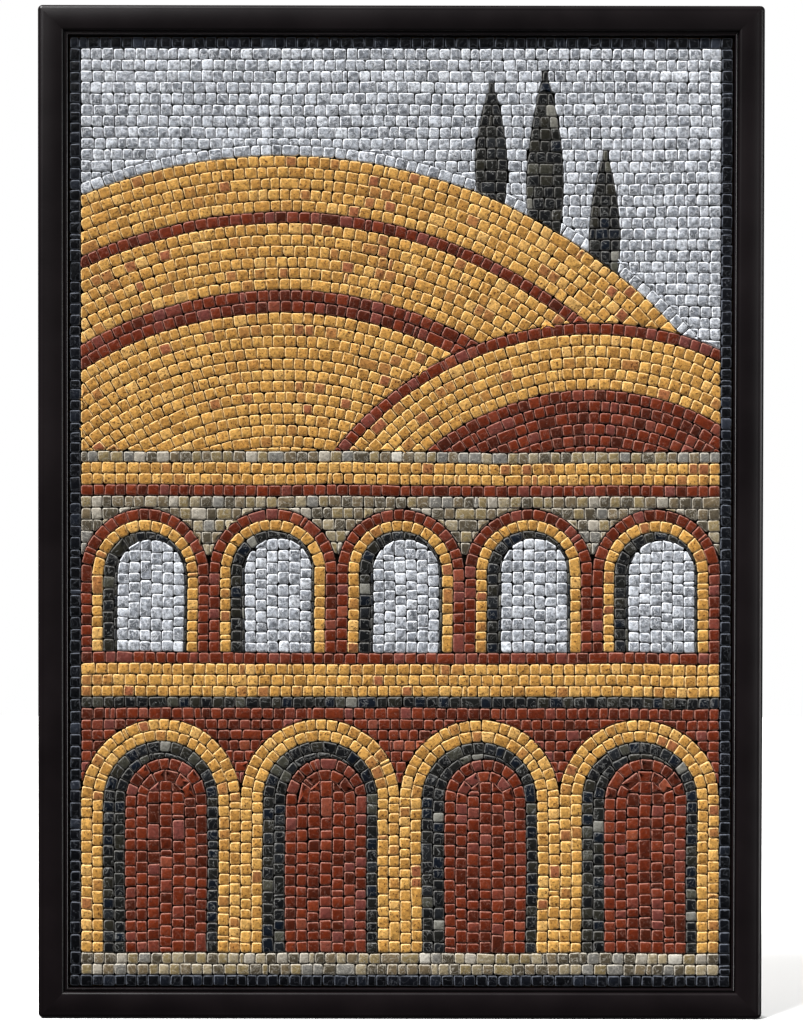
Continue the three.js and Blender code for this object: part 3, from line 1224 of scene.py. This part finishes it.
def makeFrame(faceLacquer, beadLacquer):
    # The moulding's section, extruded from corner to corner and round each rounded corner
    low, high = cadBox
    radius = moulding["cornerRadius"]
    steps = moulding["steps"]
    rebateAcross, rebateDepth = moulding["rebate"]
    section = [
        (0, 0),
        *mouldingSteps(high.y - low.y),
        (moulding["width"], rebateDepth),
        (rebateAcross, rebateDepth),
        (rebateAcross, 0),
    ]

    def sectionPoint(across, depth, sideX, sideZ, angle):
        if across < radius:
            reach = radius - across
            x = high.x - radius + reach * abs(math.cos(angle))
            z = (high.z - low.z) / 2 - radius + reach * abs(math.sin(angle))
        else:
            x = high.x - across
            z = (high.z - low.z) / 2 - across
        return Vector((sideX * x, -depth, (high.z + low.z) / 2 + sideZ * z))

    stations = []
    for quarter, (sideX, sideZ) in enumerate(((1, 1), (-1, 1), (-1, -1), (1, -1))):
        for step in range(steps + 1):
            stations.append((sideX, sideZ, (quarter + step / steps) * math.pi / 2))
    mesh = bmesh.new()
    first = [mesh.verts.new(sectionPoint(*point, *stations[0])) for point in section]
    front = [mesh.edges.new((a, b)) for a, b in zip(first, first[1:] + first[:1])]
    for station in stations[1:]:
        order = {corner: point for corner, point in zip(first, section)}
        grown = bmesh.ops.extrude_edge_only(mesh, edges=front)["geom"]
        front = [piece for piece in grown if isinstance(piece, bmesh.types.BMEdge)]
        fresh = {piece for piece in grown if isinstance(piece, bmesh.types.BMVert)}
        nextRow = []
        for corner in first:
            joined = next(edge for edge in corner.link_edges if edge.other_vert(corner) in fresh)
            moved = joined.other_vert(corner)
            moved.co = sectionPoint(*order[corner], *station)
            nextRow.append(moved)
        first = nextRow
    start = [edge for edge in mesh.edges if edge.is_boundary and edge not in set(front)]
    bmesh.ops.bridge_loops(mesh, edges=start + front)
    bmesh.ops.remove_doubles(mesh, verts=mesh.verts, dist=0.002 * mm)
    bmesh.ops.recalc_face_normals(mesh, faces=mesh.faces)
    for face in mesh.faces:
        face.smooth = True
        middle = face.calc_center_median()
        across = min(high.x - abs(middle.x), high.z - abs(middle.z))
        besideBead = moulding["width"] - 2 * moulding["beadRadius"]
        if across > besideBead and -middle.y > moulding["lip"] + 0.01 * mm:
            face.material_index = 1
    for edge in mesh.edges:
        a, b = edge.verts
        mitre = abs(abs(a.co.x - b.co.x) - abs(a.co.z - b.co.z)) < 0.01 * mm
        inner = all(abs(v.co.x) < high.x - radius + 0.1 * mm for v in (a, b))
        steep = edge.calc_face_angle(0) > math.radians(30)
        if steep or (mitre and inner and abs(a.co.x - b.co.x) > 0.001 * mm):
            edge.smooth = False
    data = bpy.data.meshes.new("frame_moulding")
    mesh.to_mesh(data)
    mesh.free()
    data.materials.append(faceLacquer)
    data.materials.append(beadLacquer)
    piece = bpy.data.objects.new("frame_moulding", data)
    bpy.context.collection.objects.link(piece)
    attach(piece, "root")
    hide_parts(*["frame_rail_" + side for side in ("bottom", "right", "top", "left")])
    print("frame_moulding", len(data.polygons), "faces")


def dressNode(name, material):
    # A CAD solid that stays, with its own material
    node = frame["nodes"][name]
    node.data.materials.clear()
    node.data.materials.append(material)


studio = {
    "cameraDistance": 2.2,
    "cameraRise": 0.8,  # degrees above the panel's middle
    "lens": 83.15,
    "shift": (0.0008, 0.0012),
    "roll": 0.09,  # degrees
    "keyFrom": (-0.9, -0.8, 1.8),  # the direction of the sun lamp
    "keySoftness": 16,  # degrees across
    "keyStrength": 7.0,
    "lamps": {  # place, target, size and power of each soft box
        "fill_light": ((1.9, -1.9, 0.3), (0, 0, 0), (1.2, 1.6), 7),
        "back_light": ((0, 1.3, 1.5), (0, 0.5, -0.472), (1.6, 0.8), 60),
        "corner_light": ((-1.5, -1.9, 2.0), (0, 0, 0), (1.0, 1.0), 40),
        "edge_light": ((1.9, -1.1, -0.1), (0, 0, 0), (0.6, 1.8), 30),
    },
    "backdropLight": 1.0,
    "roomLight": 0.17,
    "roomSheen": 0.07,  # the room as it is mirrored
    "floorHalfSize": 1.5,
    "floorCentre": 1.3,  # behind the panel, so that its front edge stays out of view
}


def addLamp(name, place, target, size, power):
    light = bpy.data.lights.new(name, "AREA")
    light.shape = "RECTANGLE"
    light.size, light.size_y = size
    light.energy = power
    lamp = bpy.data.objects.new(name, light)
    lamp.location = place
    lamp.rotation_euler = (Vector(target) - Vector(place)).to_track_quat("-Z", "Y").to_euler()
    bpy.context.collection.objects.link(lamp)
    return lamp


def setUpStudio():
    low, high = cadBox
    middle = Vector((0, low.y, (low.z + high.z) / 2))
    rise = math.radians(studio["cameraRise"])
    camera = bpy.data.cameras.new("camera")
    camera.sensor_width = 36
    camera.lens = studio["lens"]
    camera.shift_x, camera.shift_y = studio["shift"]
    eye = bpy.data.objects.new("camera", camera)
    eye.location = middle + studio["cameraDistance"] * Vector((0, -math.cos(rise), math.sin(rise)))
    eye.rotation_euler = (math.pi / 2 - rise, -math.radians(studio["roll"]), 0)
    bpy.context.collection.objects.link(eye)
    bpy.context.scene.camera = eye

    sun = bpy.data.lights.new("key_light", "SUN")
    sun.energy = studio["keyStrength"]
    sun.angle = math.radians(studio["keySoftness"])
    key = bpy.data.objects.new("key_light", sun)
    key.rotation_euler = Vector(studio["keyFrom"]).to_track_quat("Z", "Y").to_euler()
    bpy.context.collection.objects.link(key)
    lamps = {name: addLamp(name, *values) for name, values in studio["lamps"].items()}
    lamps["back_light"].visible_glossy = False
    # only the lacquer's sheen shows these two, over its upper left and along its right side
    lamps["corner_light"].visible_diffuse = False
    lamps["edge_light"].visible_diffuse = False

    world = bpy.data.worlds.new("studio")
    bpy.context.scene.world = world
    world.use_nodes = True
    tree = world.node_tree
    ray = addNode(tree, "ShaderNodeLightPath")
    room = addNode(
        tree,
        "ShaderNodeMapRange",
        {
            "Value": ray.outputs["Is Glossy Ray"],
            "To Min": studio["roomLight"],
            "To Max": studio["roomSheen"],
        },
    )
    strength = addNode(
        tree,
        "ShaderNodeMapRange",
        {
            "Value": ray.outputs["Is Camera Ray"],
            "To Min": room.outputs[0],
            "To Max": studio["backdropLight"],
        },
    )
    background = tree.nodes["Background"]
    background.inputs["Color"].default_value = (1, 1, 1, 1)
    tree.links.new(strength.outputs[0], background.inputs["Strength"])

    floorMesh = bmesh.new()
    bmesh.ops.create_grid(floorMesh, x_segments=1, y_segments=1, size=studio["floorHalfSize"])
    floorPlace = (0, studio["floorCentre"], low.z - 0.5 * mm)
    bmesh.ops.translate(floorMesh, verts=floorMesh.verts, vec=floorPlace)
    data = bpy.data.meshes.new("floor")
    floorMesh.to_mesh(data)
    floorMesh.free()
    floor = bpy.data.objects.new("floor", data)
    bpy.context.collection.objects.link(floor)
    paint, tree, shader = newMaterial("matt_white_floor_paint")
    mottle = addNode(tree, "ShaderNodeTexNoise", {"Scale": 2.0})
    colour = addNode(tree, "ShaderNodeValToRGB", {"Fac": mottle.outputs["Fac"]})
    fillRamp(colour, ((0.3, "#f1f1f0"), (0.7, "#f6f6f5")))
    tree.links.new(colour.outputs["Color"], shader.inputs["Base Color"])
    shader.inputs["Roughness"].default_value = 0.8
    data.materials.append(paint)
    floor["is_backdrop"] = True
    # the floor throws no light up onto the panel, as with a black card laid before it
    floor.visible_diffuse = False
    floor.visible_glossy = False
    bpy.context.scene.view_settings.view_transform = "Standard"


setUpStudio()
makeFrame(espressoLacquer(lacquers["face"]), espressoLacquer(lacquers["bead"]))
dressNode("backing_board", rawFibreboard())
dressNode("setting_bed", darkAdhesive())

layBorder()
layTreesAndSky()
layHill("far_hill", [insideHill("near_hill", courseJoint), *beyondPicture()])
layHill("near_hill", beyondPicture())
bands = ("coping", "upper_frieze", "upper_string", "upper_sill", "middle_frieze", "middle_string")
for band in (*bands, "base"):
    layBand(band)
layUpperTier()
layLowerTier()
print("stones laid")
for slotName, look in marbles.items():
    finishStones(slotName, tumbledMarble("tumbled_" + slotName, look))

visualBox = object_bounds()
[[list(corner) for corner in box] for box in (cadBox, visualBox)]
